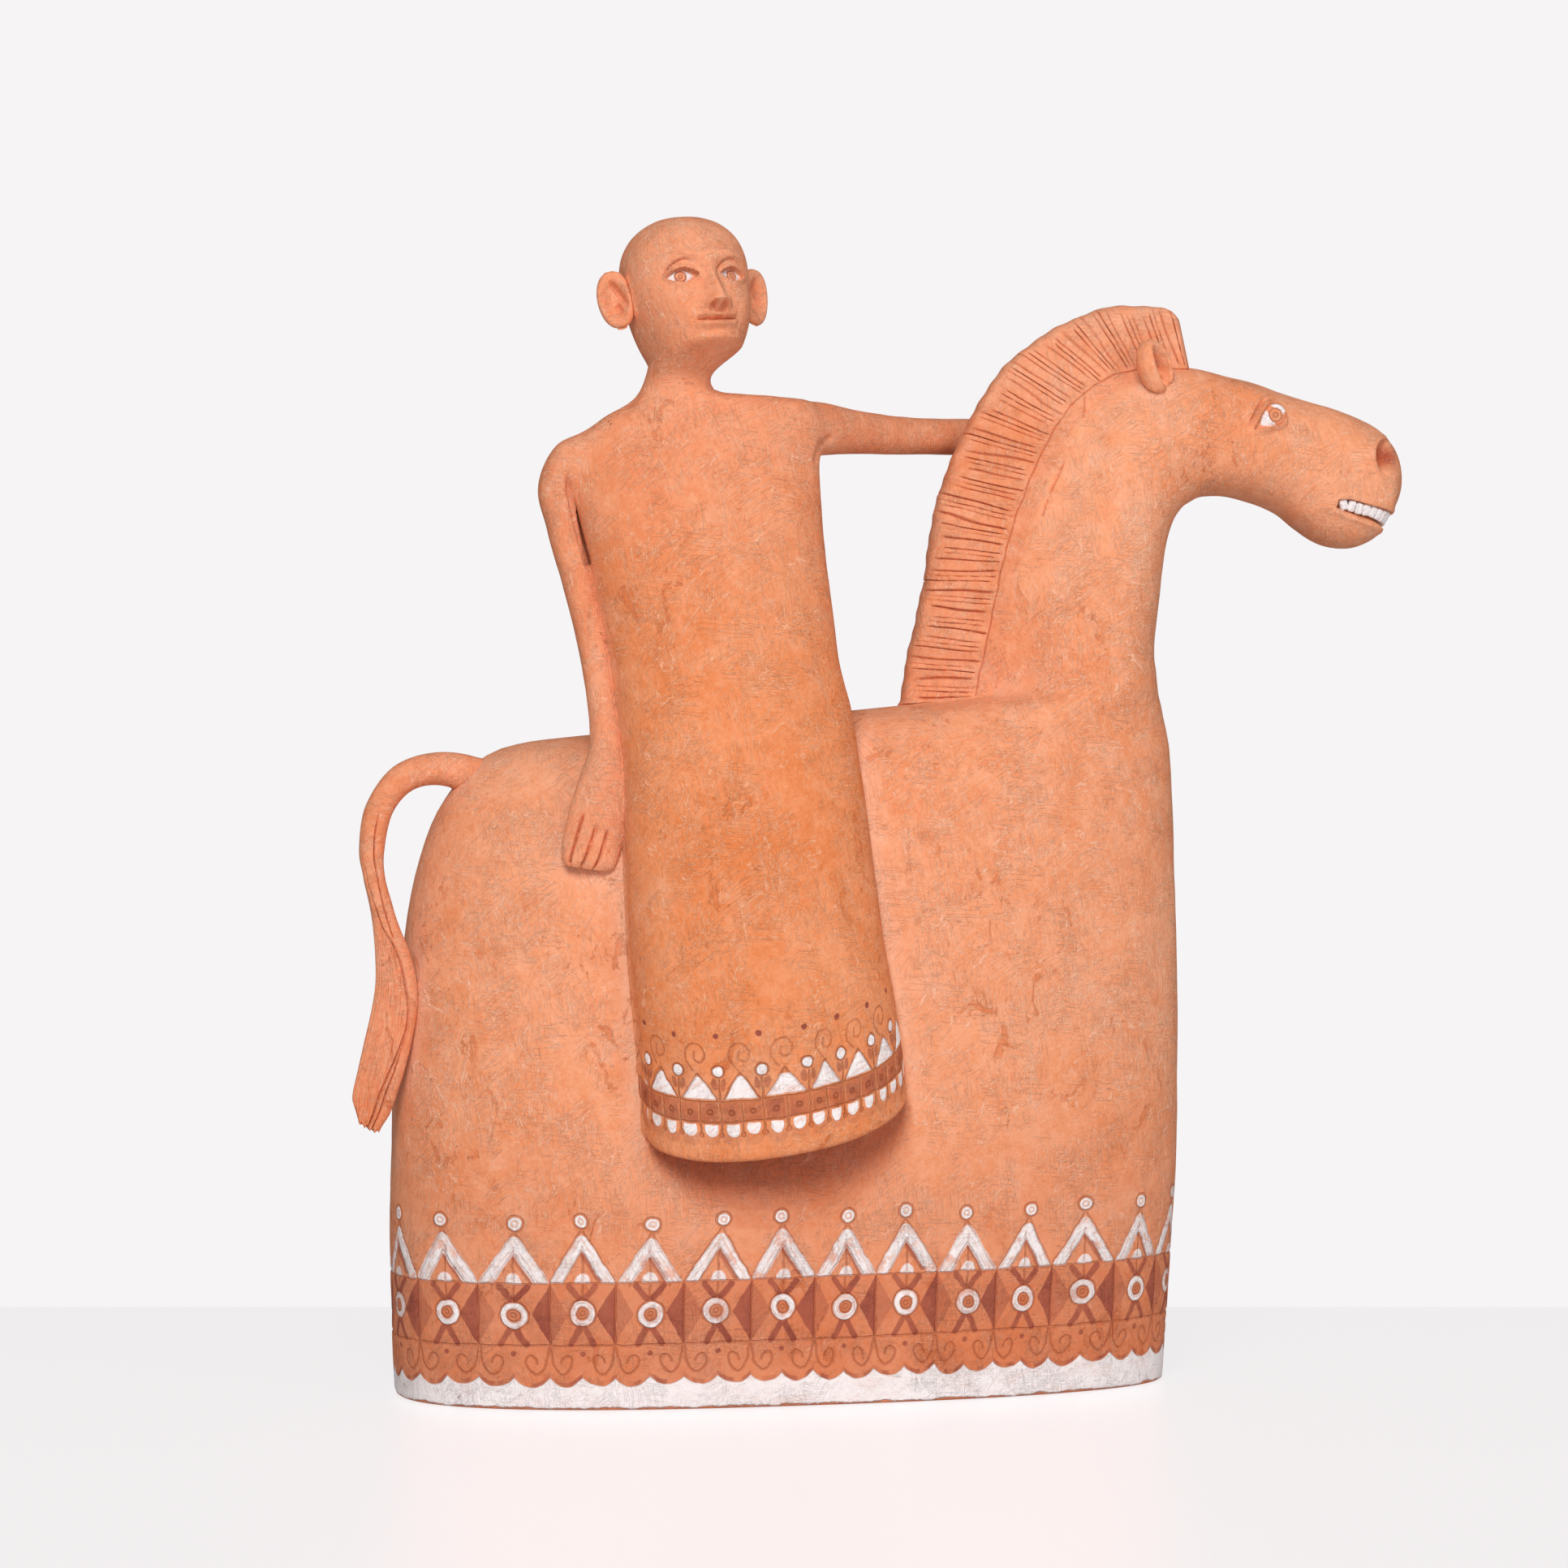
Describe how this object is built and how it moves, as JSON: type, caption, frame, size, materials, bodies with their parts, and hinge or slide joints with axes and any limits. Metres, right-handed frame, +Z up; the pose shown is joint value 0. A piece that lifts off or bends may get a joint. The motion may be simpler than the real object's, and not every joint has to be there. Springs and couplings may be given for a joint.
{
  "type": "terracotta horse and rider",
  "caption": "Hollow hand-built terracotta horse with a robed rider seated sideways on its back, a slab mane, an arched tail and a painted border round the foot; stands as an ornament.",
  "frame": {"origin": "under the middle of the figure's bounding box, on the surface that it stands on", "axes": "+Z up, +X from the tail towards the horse's muzzle, -Y towards the side that the rider faces"},
  "size_m": [0.4536, 0.1576, 0.4856],
  "materials": {
    "horse_clay": "unglazed fired terracotta, smoothed by hand",
    "rider_clay": "unglazed fired terracotta, smoothed by hand, a little redder",
    "white_slip": "brushed white slip"
  },
  "bodies": {
    "root": {"horse_flank_right": "horse_clay", "horse_flank_left": "horse_clay", "horse_back": "horse_clay", "horse_neck": "horse_clay", "horse_head": "horse_clay", "horse_teeth": "white_slip", "horse_eye_right": "white_slip", "horse_eye_left": "white_slip", "horse_ear_right": "horse_clay", "horse_ear_left": "horse_clay", "mane": "horse_clay", "tail": "horse_clay", "robe_front": "rider_clay", "robe_back": "rider_clay", "rider_neck": "rider_clay", "rider_head": "rider_clay", "rider_nose": "rider_clay", "rider_lips": "rider_clay", "rider_eye_right": "white_slip", "rider_eye_left": "white_slip", "rider_ear_right": "rider_clay", "rider_ear_left": "rider_clay", "rider_right_arm": "rider_clay", "rider_left_arm": "rider_clay"}
  },
  "joints": []
}
